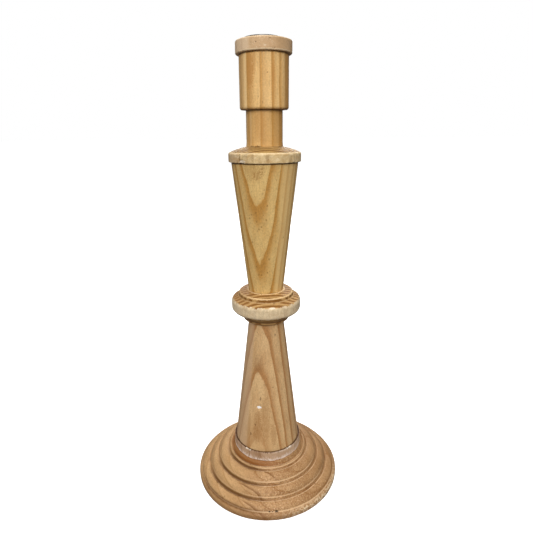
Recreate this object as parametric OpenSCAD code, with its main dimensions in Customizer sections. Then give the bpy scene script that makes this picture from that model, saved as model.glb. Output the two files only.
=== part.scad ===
// Turned wooden candlestick with a metal candle cup.
// Everything is round about the Z axis. Z = 0 is the table, and heights run up from it.
// Long-grain columns join cross-grain discs with turned tenons, and one screw holds the base.

/* [Base] */
// Radius of the base at its widest
base_r = 69.8; // [68:0.2:73]
// Height of the base, where the foot collar stands on it
base_h = 32.6; // [30:0.2:36]
// Height of the upright rim of the base
base_rim_h = 4.0; // [3:0.1:5]
// Depth of the grooves between the base's rings
base_groove_d = 0.3; // [0.2:0.1:0.8]

/* [Foot collar] */
// Radius of the collar round the lower column's foot
foot_collar_r = 32.5; // [32:0.1:33.5]
// Height of that collar
foot_collar_h = 9.4; // [7:0.1:12]
// Depth of the recess in its top, which the column stands in
foot_recess_d = 1.2; // [0.8:0.1:2]

/* [Columns] */
// Radius of the lower column at its foot
lower_foot_r = 31.0; // [28:0.1:31.2]
// Radius of the lower column at its top
lower_top_r = 16.0; // [14:0.1:18]
// Height of the lower column between its tenons
lower_h = 126.2; // [100:0.1:150]
// Radius of the upper column at its foot
upper_foot_r = 15.7; // [14:0.1:15.9]
// Radius of the upper column at its top
upper_top_r = 28.05; // [24:0.05:28.8]
// Height of the upper column above its tenon
upper_h = 112.0; // [90:0.1:130]

/* [Knop] */
// Radius of the knop's rim
knop_r = 31.3; // [28:0.1:36]
// Radius of the small ring under the knop
knop_ring_r = 21.0; // [19.5:0.1:22]
// Radius of the step on top of the knop
knop_step_r = 24.6; // [22:0.1:26]
// Height of the knop
knop_h = 28.6; // [28:0.1:32]
// Height of its sloping underside, up to the rim
knop_under_h = 11.2; // [10:0.1:12.5]
// Height of its upright rim
knop_rim_h = 7.8; // [6:0.1:8]
// Height of the step on top
knop_step_h = 3.9; // [3:0.1:4.2]

/* [Shoulder collar] */
// Radius of the collar on top of the upper column
shoulder_r = 30.2; // [29:0.1:34]
// Height of its upright edge
shoulder_edge_h = 7.7; // [5:0.1:9]
// Height of the whole collar
shoulder_h = 12.2; // [11:0.1:14]

/* [Candle socket] */
// Radius of the neck
neck_r = 14.85; // [13:0.05:16]
// Height of the neck
neck_h = 28.1; // [20:0.1:36]
// Radius of the socket's wide body
socket_r = 19.75; // [18.5:0.05:20.5]
// Height of the wide body
socket_h = 40.4; // [36:0.1:50]
// Radius that rounds the body's lower edge
socket_round_r = 2.3; // [1:0.1:3]

/* [Cap ring] */
// Radius of the ring on top of the socket
cap_r = 22.3; // [21.5:0.1:24]
// Height of the ring at its edge
cap_edge_h = 9.4; // [8:0.1:11]
// How much its top rises towards the cup
cap_crown_h = 0.9; // [0.6:0.1:1.6]

/* [Candle cup] */
// Inner radius of the cup, for a 22 mm taper candle
cup_bore_r = 11.4; // [11.2:0.05:11.8]
// Thickness of the cup's sheet metal
cup_wall = 0.6; // [0.4:0.1:0.8]
// Radius of the cup's flange
cup_flange_r = 14.8; // [14:0.1:15.2]
// Thickness of the rolled flange
cup_flange_h = 1.4; // [1:0.1:1.8]
// Depth of the cup below the top of its flange
cup_depth = 27.0; // [22:0.5:30]

/* [Joints] */
// Radius of the tenon that joins the lower column, its collar and the base
foot_tenon_r = 11.0; // [9:0.1:12]
// Length of that tenon below the column's foot
foot_tenon_l = 26.0; // [22:0.5:27]
// Radius of the tenons in the knop and in the upper column's top
tenon_r = 8.0; // [6:0.1:9]
// Length of those tenons
tenon_l = 13.4; // [10:0.1:13.8]
// Length of the socket's tenon, through the shoulder collar into the upper column
socket_tenon_l = 34.0; // [28:0.5:40]
// Radius of the socket's spigot inside the cap ring
spigot_r = 16.0; // [15:0.1:17]
// Height of that spigot
spigot_h = 4.0; // [3:0.1:5]
// Gap for glue round each tenon
glue_gap = 0.1; // [0.05:0.01:0.2]

/* [Screw] */
// Outer radius of the screw's thread
screw_r = 2.6; // [2:0.1:3]
// Radius of the screw's countersunk head
screw_head_r = 5.6; // [5:0.1:6]
// How far the head is sunk above the table
screw_sunk = 4.0; // [2:0.5:6]
// Whole length of the screw
screw_l = 62.0; // [50:1:75]

/* [Hidden] */
$fn = 96;

// Heights of the faces where one piece stands on the next
foot_seat_z = base_h + foot_collar_h - foot_recess_d;
knop_z = foot_seat_z + lower_h;
upper_z = knop_z + knop_h;
shoulder_z = upper_z + upper_h;
socket_z = shoulder_z + shoulder_h;
body_z = socket_z + neck_h;
cap_z = body_z + socket_h;
flange_z = cap_z + cap_edge_h + cap_crown_h;
top_z = flange_z + cup_flange_h;

// The cup's outside, and the hole in the wood that takes it
cup_outer_r = cup_bore_r + cup_wall;
cup_hole_r = cup_outer_r + glue_gap;
cup_hole_z = top_z - cup_depth - 1;

// The screw's head, its countersink and its thread
screw_core_r = screw_r * 0.7;
screw_head_h = screw_head_r - screw_r;
screw_hole_r = screw_r + 0.3;
screw_thread_z = 18;
screw_pitch = 2.6;
screw_tip_l = 6;
screw_turns = floor((screw_sunk + screw_l - screw_tip_l - screw_thread_z) / screw_pitch);

big = 200; // a hole this long leaves any piece of the base, knop or collar
soft = 1.4; // size of a rounded edge on a disc
bevel = 0.8; // bevel at a tenon's end
crown = 1.5; // how far the knop's top rises inside its step

// The base's rings and bead, from the outside in. Each has its outer edge and its inner edge,
// as shares of base_r and base_h, and the height it swells by.
BASE_RINGS = [[0.960, 0.218, 0.850, 0.396, 0.9],
              [0.832, 0.429, 0.721, 0.650, 1.1],
              [0.703, 0.684, 0.566, 0.856, 1.1],
              [0.549, 0.877, 0.521, 0.908, 0.5]];

// Colours of the woods and the metal
long_grain = [0.80, 0.64, 0.40];
disc_grain = [0.86, 0.76, 0.60];
base_grain = [0.76, 0.61, 0.42];
pale_grain = [0.79, 0.68, 0.54];

// Points of a round bulge between two points of an outline. The outline runs anticlockwise
// round the solid, so a positive bulge swells outwards; bulge is its height over the straight line.
function bulge(a, b, h, n = 6) =
    let (d = b - a, len = norm(d), side = [d.y, -d.x] / len,
         rad = (len * len / 4 + h * h) / (2 * abs(h)),
         centre = (a + b) / 2 - side * sign(h) * (rad - abs(h)),
         start = atan2(a.y - centre.y, a.x - centre.x),
         sweep = sign(h) * 2 * asin(len / 2 / rad))
    [for (i = [0:n]) centre + rad * [cos(start + sweep * i / n), sin(start + sweep * i / n)]];

// Points of a quarter-round edge that turns from the point a to the point b
function edge(a, b, n = 5) = bulge(a, b, norm(b - a) * (sqrt(2) - 1) / 2, n);

module turned(outline) {
    rotate_extrude() polygon(outline);
}

module bore(r, z0, z1) {
    translate([0, 0, z0]) cylinder(r = r, h = z1 - z0);
}

// Three rounded rings and a small bead climb to the foot collar, each with a groove inside it
module base() {
    rings = [for (ring = BASE_RINGS)
        let (outer = [ring[0] * base_r, ring[1] * base_h],
             inner = [ring[2] * base_r, ring[3] * base_h])
        each concat(bulge(outer, inner, ring[4]), [inner - [bevel, base_groove_d]])];
    color(base_grain)
    difference() {
        turned(concat(
            [[0, 0]],
            edge([base_r - soft, 0], [base_r, soft], 4),
            bulge([base_r, base_rim_h], rings[0], 0.5, 5),
            rings,
            [[foot_collar_r + 0.3, base_h], [0, base_h]]));
        bore(foot_tenon_r + glue_gap, foot_seat_z - foot_tenon_l - 1, big);
        bore(screw_hole_r, -1, big);
        bore(screw_head_r + 0.4, -1, screw_sunk);
        translate([0, 0, screw_sunk])
            cylinder(r1 = screw_head_r + 0.4, r2 = screw_hole_r, h = screw_head_h + 0.1);
    }
}

// A ring of paler wood. The lower column stands in the recess in its top.
module foot_collar() {
    top = base_h + foot_collar_h;
    color(pale_grain)
    difference() {
        turned(concat(
            [[0, base_h], [foot_collar_r + 0.2, base_h]],
            edge([foot_collar_r, top - soft / 3], [foot_collar_r - soft / 3, top], 3),
            [[0, top]]));
        bore(foot_tenon_r + glue_gap, -1, big);
        bore(lower_foot_r + 0.4, foot_seat_z, big);
    }
}

module lower_column() {
    color(long_grain)
    difference() {
        turned([
            [0, foot_seat_z - foot_tenon_l], [foot_tenon_r - bevel, foot_seat_z - foot_tenon_l],
            [foot_tenon_r, foot_seat_z - foot_tenon_l + bevel], [foot_tenon_r, foot_seat_z],
            [lower_foot_r - bevel, foot_seat_z], [lower_foot_r, foot_seat_z + bevel],
            [lower_top_r, knop_z], [tenon_r, knop_z],
            [tenon_r, knop_z + tenon_l - bevel], [tenon_r - bevel, knop_z + tenon_l],
            [0, knop_z + tenon_l]]);
        bore(screw_r + 0.05, 0, screw_sunk + screw_l + 1);
    }
}

// A disc with a ring below, a wide rim, a sloping top and one step
module knop() {
    rim_low = knop_z + knop_under_h;
    rim_top = rim_low + knop_rim_h;
    step_top = upper_z - crown;
    step_low = step_top - knop_step_h;
    color(disc_grain)
    difference() {
        turned(concat(
            [[0, knop_z]],
            edge([knop_ring_r - 1.3 * soft, knop_z], [knop_ring_r - 0.4, knop_z + soft], 3),
            [[knop_ring_r, knop_z + 2 * soft]],
            edge([knop_r - 1.2 * soft, rim_low - 1.2 * soft], [knop_r, rim_low], 4),
            edge([knop_r, rim_top], [knop_r - 0.8 * soft, rim_top + 1.3 * soft], 5),
            [[knop_step_r + 0.6, step_low - 0.2], [knop_step_r + 0.1, step_low]],
            edge([knop_step_r, step_top - bevel], [knop_step_r - bevel, step_top], 4),
            [[upper_foot_r + 0.3, upper_z], [0, upper_z]]));
        bore(tenon_r + glue_gap, -1, big);
    }
}

module upper_column() {
    color(long_grain)
    difference() {
        turned([
            [0, upper_z - tenon_l], [tenon_r - bevel, upper_z - tenon_l],
            [tenon_r, upper_z - tenon_l + bevel], [tenon_r, upper_z], [upper_foot_r, upper_z],
            [upper_top_r, shoulder_z], [0, shoulder_z]]);
        bore(tenon_r + glue_gap, socket_z - socket_tenon_l - 1, shoulder_z + 5);
    }
}

// A disc with an upright edge and a gently rounded slope up to the neck
module shoulder_collar() {
    edge_top = shoulder_z + shoulder_edge_h;
    color(disc_grain)
    difference() {
        turned(concat(
            [[0, shoulder_z]],
            edge([shoulder_r - bevel / 2, shoulder_z], [shoulder_r, shoulder_z + bevel], 4),
            edge([shoulder_r, edge_top - bevel], [shoulder_r - bevel, edge_top], 4),
            bulge([shoulder_r - bevel, edge_top], [neck_r + 0.3, socket_z], 0.8, 5),
            [[0, socket_z]]));
        bore(tenon_r + glue_gap, -1, big);
    }
}

// One long-grain turning: tenon, neck, wide body and spigot
module candle_socket() {
    color(long_grain)
    difference() {
        turned(concat(
            [[0, socket_z - socket_tenon_l], [tenon_r - bevel, socket_z - socket_tenon_l],
             [tenon_r, socket_z - socket_tenon_l + bevel], [tenon_r, socket_z],
             [neck_r, socket_z], [neck_r, body_z]],
            edge([socket_r - socket_round_r, body_z], [socket_r, body_z + socket_round_r]),
            [[socket_r, cap_z], [spigot_r, cap_z], [spigot_r, cap_z + spigot_h],
             [0, cap_z + spigot_h]]));
        bore(cup_hole_r, cup_hole_z, big * 3);
    }
}

// A disc over the socket's end. Its crowned top carries the cup's flange.
module cap_ring() {
    edge_top = cap_z + cap_edge_h;
    color(pale_grain)
    difference() {
        turned(concat(
            [[0, cap_z]],
            edge([cap_r - bevel, cap_z], [cap_r, cap_z + bevel], 4),
            edge([cap_r, edge_top - bevel], [cap_r - bevel, edge_top], 4),
            [[cup_flange_r + 0.6, flange_z], [0, flange_z]]));
        bore(cup_hole_r, -1, big * 3);
        bore(spigot_r + glue_gap, -1, cap_z + spigot_h + glue_gap);
    }
}

// Thin metal cup with a rolled flange that lies on the cap ring
module candle_cup() {
    floor_z = top_z - cup_depth;
    lip = cup_flange_h / 2;
    color("silver")
    turned(concat(
        [[0, floor_z], [cup_outer_r - bevel, floor_z], [cup_outer_r, floor_z + bevel],
         [cup_outer_r, flange_z], [cup_flange_r - lip, flange_z]],
        [for (a = [-60:30:60]) [cup_flange_r - lip + lip * cos(a), top_z - lip + lip * sin(a)]],
        [[cup_flange_r - lip, top_z], [cup_bore_r + cup_wall, top_z],
         [cup_bore_r, top_z - cup_wall],
         [cup_bore_r, floor_z + cup_wall], [0, floor_z + cup_wall]]));
}

// Countersunk wood screw, driven up through the base. Its thread is a row of ridges.
module base_screw() {
    top = screw_sunk + screw_l;
    drive_r = screw_head_r * 0.42;
    color("gray")
    difference() {
        turned(concat(
            [[0, screw_sunk], [screw_head_r - 0.2, screw_sunk],
             [screw_head_r, screw_sunk + 0.3], [screw_r, screw_sunk + screw_head_h],
             [screw_r, screw_thread_z - 1], [screw_core_r, screw_thread_z]],
            [for (i = [0:screw_turns - 1], p = [[0.25, 0], [0.5, 1], [0.75, 0]])
                [screw_core_r + (screw_r - screw_core_r) * p[1],
                 screw_thread_z + screw_pitch * (i + p[0])]],
            [[screw_core_r, top - screw_tip_l], [0, top]]));
        for (turn = [0, 90])
            translate([0, 0, screw_sunk + 0.9]) rotate([0, 0, turn])
                cube([drive_r * 2, 1.1, 2], center = true);
    }
}

base();
foot_collar();
lower_column();
knop();
upper_column();
shoulder_collar();
candle_socket();
cap_ring();
candle_cup();
base_screw();
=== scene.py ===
# %% [markdown]
# # A tall turned candlestick
# Eight wooden pieces are glued end to end, each with a tenon in the next one's hole, and a
# metal cup for the candle is pressed into the top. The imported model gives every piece's
# place and size in metres, so it is loaded first and every outline below starts from it.

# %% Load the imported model
import math

import bmesh
import bpy
from mathutils import Euler, Matrix, Vector, noise


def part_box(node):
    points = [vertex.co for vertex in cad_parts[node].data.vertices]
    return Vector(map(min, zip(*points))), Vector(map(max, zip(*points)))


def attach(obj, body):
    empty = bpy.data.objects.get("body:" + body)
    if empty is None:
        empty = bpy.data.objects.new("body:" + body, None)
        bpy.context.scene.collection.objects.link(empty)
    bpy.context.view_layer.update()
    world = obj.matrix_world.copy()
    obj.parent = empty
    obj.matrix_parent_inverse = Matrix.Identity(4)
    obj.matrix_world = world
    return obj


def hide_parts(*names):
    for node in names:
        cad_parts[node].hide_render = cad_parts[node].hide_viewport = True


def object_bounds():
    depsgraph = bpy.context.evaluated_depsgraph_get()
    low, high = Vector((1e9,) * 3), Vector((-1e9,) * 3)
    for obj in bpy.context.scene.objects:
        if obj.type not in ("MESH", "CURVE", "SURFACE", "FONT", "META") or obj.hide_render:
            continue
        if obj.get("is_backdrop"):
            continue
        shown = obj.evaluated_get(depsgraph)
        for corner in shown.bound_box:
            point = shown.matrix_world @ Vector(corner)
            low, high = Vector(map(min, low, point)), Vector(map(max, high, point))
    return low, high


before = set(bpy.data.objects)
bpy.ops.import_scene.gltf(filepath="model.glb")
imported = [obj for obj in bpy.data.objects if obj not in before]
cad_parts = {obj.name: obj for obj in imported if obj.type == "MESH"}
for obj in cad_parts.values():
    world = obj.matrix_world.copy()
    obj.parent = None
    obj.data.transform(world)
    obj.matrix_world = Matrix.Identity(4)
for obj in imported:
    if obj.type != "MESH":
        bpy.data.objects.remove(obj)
packed_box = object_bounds()
print("packed pieces:", ", ".join(sorted(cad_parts)))

# %% [markdown]
# ## Heights and widths in millimetres
# A turner measures in millimetres, so each piece's bottom, top and radius are read from the
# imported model's boxes and turned into millimetres once. The boxes don't show the joints, so
# the radii of the tenons and holes are written down beside them.

# %% Measure the pieces
MM = 0.001


def measured(node):
    """The bottom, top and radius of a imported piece, in millimetres."""
    low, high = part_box(node)
    return low.z / MM, high.z / MM, high.x / MM


base_low, base_top, base_r = measured("base")
collar_low, collar_top, collar_r = measured("foot_collar")
lower_low, lower_top, lower_r = measured("lower_column")
knop_low, knop_top, knop_r = measured("knop")
upper_low = measured("upper_column")[0]
shoulder_low, shoulder_top, shoulder_r = measured("shoulder_collar")
socket_low, socket_top, socket_r = measured("candle_socket")
cap_low, cap_top, cap_r = measured("cap_ring")
cup_low, cup_top, cup_r = measured("candle_cup")

FOOT_TENON, FOOT_HOLE, COLLAR_HOLE = 11.0, 11.1, 11.3
TENON, TENON_HOLE = 8.0, 8.1
SPIGOT = 16.0
CUP_WALL, CUP_HOLE, CANDLE_BORE = 12.0, 12.1, 11.4
SCREW_PILOT, SCREW_HOLE, SCREW_HEAD = 2.65, 2.9, 6.0
print(f"from the table to the cup's rim: {cup_top - base_low:.1f} mm, base {2 * base_r:.1f} mm wide")

# %% [markdown]
# ## Shader maths that reads like arithmetic
# A finish is a net of nodes. Writing `1 - mask` is easier to follow than placing a Math node
# and linking it, so a Signal wraps one output and each operator adds the node it needs. A
# Finish holds one material, and its `node` method makes any node from its type, its settings
# and the values or signals of its sockets.

# %% Wrap the sockets


class Signal:
    """What a shader works out at each point: a number, a vector or a colour."""

    def __init__(self, finish, socket):
        self.finish, self.socket = finish, socket

    def maths(self, operation, *values):
        return self.finish.node("ShaderNodeMath", {"operation": operation}, dict(enumerate(values)))[0]

    def __add__(self, other):
        return self.maths("ADD", self, other)

    def __sub__(self, other):
        return self.maths("SUBTRACT", self, other)

    def __rsub__(self, other):
        return self.maths("SUBTRACT", other, self)

    def __mul__(self, other):
        return self.maths("MULTIPLY", self, other)

    def __truediv__(self, other):
        return self.maths("DIVIDE", self, other)

    def __pow__(self, other):
        return self.maths("POWER", self, other)

    def __neg__(self):
        return self.maths("MULTIPLY", self, -1.0)

    def __abs__(self):
        return self.maths("ABSOLUTE", self)

    __radd__ = __add__
    __rmul__ = __mul__


# %% [markdown]
# ## One holder for a finish
# Every finish starts the same way: a new material with its shader, to which nodes are added
# one by one. The sky is a net of nodes too, so the same class holds it.

# %% Hold a finish


class Finish:
    """A material, or the sky, whose nodes are made one by one."""

    def __init__(self, name, kind=bpy.data.materials, shader="Principled BSDF"):
        self.material = kind.new(name)
        self.material.use_nodes = True
        self.tree = self.material.node_tree
        self.shader = self.tree.nodes[shader]

    def plug(self, node, sockets):
        """Links a signal, or sets a plain value, on each named socket of a node."""
        for key, value in sockets.items():
            if isinstance(value, Signal):
                self.tree.links.new(value.socket, node.inputs[key])
            else:
                node.inputs[key].default_value = value

    def node(self, kind, settings, sockets):
        """Any node: its type, its settings and its sockets; gives its outputs."""
        made = self.tree.nodes.new(kind)
        for key, value in settings.items():
            if key == "stops":
                ramp = made.color_ramp
                while len(ramp.elements) < len(value):
                    ramp.elements.new(1.0)
                for element, (place, colour) in zip(ramp.elements, value):
                    element.position, element.color = place, colour
            else:
                setattr(made, key, value)
        self.plug(made, sockets)
        return [Signal(self, output) for output in made.outputs]

    def parts(self, vector):
        """A vector's x, y and z."""
        return self.node("ShaderNodeSeparateXYZ", {}, {0: vector})

    def millimetres(self):
        """The object's own coordinates in millimetres."""
        own = self.node("ShaderNodeTexCoord", {}, {})[3]
        return self.node("ShaderNodeMapping", {}, {"Vector": own, "Scale": (1000, 1000, 1000)})[0]


# %% [markdown]
# ## Words for the finishes
# A few shader steps come back in every finish: a smooth step between two levels, a noise with
# its own size across and along the grain, and a mix of two colours. Each gets a short name.
# Colours are written as a paint chart has them, from 0 to 255, and turned into linear light.

# %% Name the common steps


def paint(tone):
    """A colour chart value, with each part over 10, as the linear light that shaders work in."""
    return tuple(((v / 255 + 0.055) / 1.055) ** 2.4 for v in tone) + (1.0,)


def between(signal, low, high):
    """0 below low, 1 above high and a smooth step between them; low may be the larger."""
    sockets = {"Value": signal, "From Min": low, "From Max": high, "To Min": 0.0, "To Max": 1.0}
    return signal.finish.node("ShaderNodeMapRange", {"interpolation_type": "SMOOTHSTEP"}, sockets)[0]


def mixed(mask, under, over):
    """Colour `over` laid on colour `under` where mask is 1."""
    settings = {"data_type": "RGBA", "blend_type": "MIX", "clamp_factor": True}
    return mask.finish.node("ShaderNodeMix", settings, {0: mask, 6: under, 7: over})[2]


def stretched(place, across, deep, along):
    """Coordinates in which a grain that long and wide measures 1 each way."""
    sizes = (1 / across, 1 / deep, 1 / along)
    return place.finish.node("ShaderNodeVectorMath", {"operation": "MULTIPLY"}, {0: place, 1: sizes})[0]


def mottle(place, detail=2.0, rough=0.5, twist=0.0):
    """A cloudy pattern from 0 to 1, centred on one half."""
    sockets = {"Vector": place, "Scale": 1.0, "Detail": detail, "Roughness": rough, "Distortion": twist}
    return place.finish.node("ShaderNodeTexNoise", {"noise_dimensions": "3D"}, sockets)[0]


# %% [markdown]
# ## Drawing an outline
# An outline is a list of points beside the axis: a radius, a height and how much the corner
# is rounded. The points go up the outside and down the inside, so a left turn is a corner
# that stands out and a right turn is a hollow. A long face is rarely flat on turned wood, so
# `swell` adds the points of a shallow arc.

# %% Draw an outline
FULL_TURN = math.radians(55)
FAINT_TURN = 0.3


def swell(start, end, rise, points=6):
    """Points of a flat arc from start to end that stands out by rise, without its ends."""
    along = Vector(end) - Vector(start)
    out = Vector((along.y, -along.x)).normalized()
    radius = (along.length ** 2 / 4 + rise ** 2) / (2 * rise)
    arc = []
    for i in range(1, points):
        t = i / points
        height = math.sqrt(max(radius ** 2 - ((t - 0.5) * along.length) ** 2, 0)) - (radius - rise)
        place = Vector(start) + along * t + out * height
        arc.append((place.x, place.y, 0))
    return arc


def corner_turns(outline, closed):
    """Each corner's place and how sharply it turns, from -1 for a hollow to 1 for an edge."""
    turns = []
    count = len(outline)
    for i, (r, z, soft) in enumerate(outline):
        if not closed and i in (0, count - 1):
            continue
        before, after = outline[i - 1], outline[(i + 1) % count]
        a = Vector((r - before[0], z - before[1]))
        b = Vector((after[0] - r, after[1] - z))
        if a.length > 0 and b.length > 0 and r > 0.01:
            turn = math.atan2(a.x * b.y - a.y * b.x, a.dot(b)) / FULL_TURN
            if abs(turn) > FAINT_TURN:
                turns.append((r, z, max(-1, min(1, turn))))
    return turns


# %% [markdown]
# ## Where wood wears and where shade and dirt are painted
# Corners that stand out get paler by wear, and the inward ones are darkened with painted shade
# and dirt. The distance to the nearest of each is kept on the mesh as two attributes, which the
# finishes read later.

# %% Mark the corners


def mark_corners(mesh, turns, reach):
    """Writes the attributes worn and hollow: 1 at a corner, falling to 0 at the given distance."""
    worn, hollow = mesh.verts.layers.float.new("worn"), mesh.verts.layers.float.new("hollow")
    known = {}
    for vertex in mesh.verts:
        place = (round(math.hypot(vertex.co.x, vertex.co.y) / MM, 2), round(vertex.co.z / MM, 2))
        if place not in known:
            near = [(turn, max(0, 1 - math.dist(place, (r, z)) / reach)) for r, z, turn in turns]
            known[place] = (max([turn * close for turn, close in near] + [0]),
                            max([-turn * close for turn, close in near] + [0]))
        vertex[worn], vertex[hollow] = known[place]


# %% [markdown]
# ## Turning a piece
# On the lathe a gouge follows an outline while the wood turns, and Blender's spin does the
# same: the outline becomes a chain of vertices in the half plane beside the axis, its corners
# are rounded with a vertex bevel and long stretches are subdivided. Spin carries it through
# one part in 32 of a turn, and that wedge is copied and doubled five times, which is far
# quicker than one long spin and closes just as well once the doubles are merged.

# %% Spin an outline
WEDGES = 32


def turned(outline, closed=True, rounds=256, spacing=1.2, reach=2.5):
    """A spun mesh, with how worn and how hollow each of its places is."""
    mesh = bmesh.new()
    corners = [mesh.verts.new((r * MM, 0, z * MM)) for r, z, soft in outline]
    for i in range(len(corners) if closed else len(corners) - 1):
        mesh.edges.new((corners[i], corners[(i + 1) % len(corners)]))
    for soft in sorted({point[2] for point in outline} - {0}):
        rounded = [corner for corner, point in zip(corners, outline) if point[2] == soft]
        bmesh.ops.bevel(mesh, geom=rounded, offset=soft * MM, offset_type="OFFSET", segments=4,
                        profile=0.5, affect="VERTICES", material=-1, clamp_overlap=True)
    cuts_of = {}
    for edge in mesh.edges:
        cuts_of.setdefault(int(edge.calc_length() / (spacing * MM)), []).append(edge)
    for cuts, edges in cuts_of.items():
        if cuts:
            bmesh.ops.subdivide_edges(mesh, edges=edges, cuts=cuts)
    bmesh.ops.spin(mesh, geom=mesh.verts[:] + mesh.edges[:], cent=(0, 0, 0), axis=(0, 0, 1),
                   angle=math.tau / WEDGES, steps=rounds // WEDGES)
    part = WEDGES
    while part > 1:
        copied = bmesh.ops.duplicate(mesh, geom=mesh.verts[:] + mesh.edges[:] + mesh.faces[:])["geom"]
        bmesh.ops.rotate(mesh, verts=[e for e in copied if isinstance(e, bmesh.types.BMVert)],
                         cent=(0, 0, 0), matrix=Matrix.Rotation(math.tau / part, 3, "Z"))
        part //= 2
    bmesh.ops.remove_doubles(mesh, verts=mesh.verts, dist=1e-6)
    bmesh.ops.recalc_face_normals(mesh, faces=mesh.faces)
    mark_corners(mesh, corner_turns(outline, closed), reach)
    print(f"turned {len(outline)} points into {len(mesh.faces)} faces")
    return mesh


# %% [markdown]
# ## Hand-worked edges
# A bare wooden edge is never a perfect circle: fibres tear, small bits chip off, and sanding
# leaves the faces a little uneven. Each vertex is pushed inwards along its normal by a depth
# that a noise gives, most of all on the worn edges. It never goes outwards, so the piece stays
# inside its measured size. The few vertices on the axis stay where they are.

# %% Wear a mesh
WORN_FROM = 0.35


def rough(place, size, seed):
    """A smooth noise from about -1 to 1 whose bumps are size millimetres wide."""
    return noise.noise(place / (size * MM) + Vector((seed, seed * 1.7, -seed)))


def wear(mesh, seed, chips=0.35, uneven=0.06, bites=()):
    """Pushes vertices inwards; each bite is an angle, a height, a width, a tallness and a depth."""
    worn = mesh.verts.layers.float["worn"]
    mesh.normal_update()
    moves = []
    for vertex in mesh.verts:
        place = vertex.co
        depth = uneven * (0.5 + 0.5 * rough(place, 9, seed))
        if vertex[worn] > WORN_FROM:
            torn = rough(place, 2.4, seed + 5) * 0.6 + rough(place, 6, seed + 9) * 0.6
            depth += chips * (vertex[worn] - WORN_FROM) ** 2 * max(0, torn + 0.12) * 3
        angle, height = math.degrees(math.atan2(place.x, -place.y)), place.z / MM
        for at, up, wide, tall, deep in bites:
            near = math.hypot((angle - at) / wide, (height - up) / tall)
            if near < 1.3:
                near += 0.5 * rough(place, 1.1, seed + 3)
                depth += deep * max(0, 1 - near) ** 0.7 if near < 1 else 0
        moves.append(vertex.normal * (depth * MM))
    for vertex, move in zip(mesh.verts, moves):
        if math.hypot(vertex.co.x, vertex.co.y) > 0.5 * MM:
            vertex.co -= move


# %% [markdown]
# ## Handing a piece over
# A finished mesh becomes an object at the origin, with its place in its mesh. It rides on the
# candlestick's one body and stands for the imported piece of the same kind.

# %% Show a piece


def shown(name, mesh, finish, node):
    """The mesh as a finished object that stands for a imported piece."""
    data = bpy.data.meshes.new(name)
    for face in mesh.faces:
        face.smooth = True
    triangles = sum(len(face.verts) - 2 for face in mesh.faces)
    mesh.to_mesh(data)
    mesh.free()
    data.materials.append(finish)
    piece = bpy.data.objects.new(name, data)
    bpy.context.scene.collection.objects.link(piece)
    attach(piece, "root")
    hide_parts(node)
    print(f"{name}: {triangles} triangles")


# %% [markdown]
# ## Wood as a solid
# The grain is not drawn on the surface: the growth rings run through the whole block, and the
# turned shape only cuts them open. A tapered column cut through nearly flat rings shows the
# pointed arches of a flat-sawn board by itself, and a disc shows end grain where its rim meets
# the fibres. So the finish first turns the object's own coordinates until x points out
# through the rings and z runs along the fibres. A ramp over the depth then says how far
# through its ring each point is: pale early wood that darkens slowly and stops at a sharp edge.

# %% Lay out the rings
DEGREES = 57.3


def facing(angle):
    """The direction out of the candlestick's axis at an angle from the front, in degrees."""
    return Vector((math.sin(math.radians(angle)), -math.cos(math.radians(angle)), 0))


def turned_to(outward, along):
    """The rotation that lays the fibres along z and the rings' depth along x."""
    fibres = Vector(along).normalized()
    depth = (Vector(outward) - Vector(outward).dot(fibres) * fibres).normalized()
    return Matrix((depth, fibres.cross(depth), fibres)).to_euler("XYZ")


def ring_stops(edges, reach):
    """Ramp stops that rise from 0 to 1 through each ring and drop at its edge."""
    stops = [(0.0, (0.3, 0.3, 0.3, 1))]
    for edge in sorted(edges):
        place = (edge + reach) / (2 * reach)
        stops += [(place - 0.003, (1, 1, 1, 1)), (place + 0.003, (0, 0, 0, 1))]
    return stops + [(1.0, (0.6, 0.6, 0.6, 1))]


# %% [markdown]
# ## Growing the wood
# `edges` are the depths at which rings end, and `sway` bends them. `band` and `fade` say where
# the dark late wood starts and how softly, `streaks` breaks it up along the fibres, `cloud`
# lays broad darker patches over it, and `grit` and `lines` are the fine speckle and the fine
# lines that bare wood shows from close by. One class makes every wood here, because the pieces
# differ only in how they were cut and how they aged.

# %% Grow the wood


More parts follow.
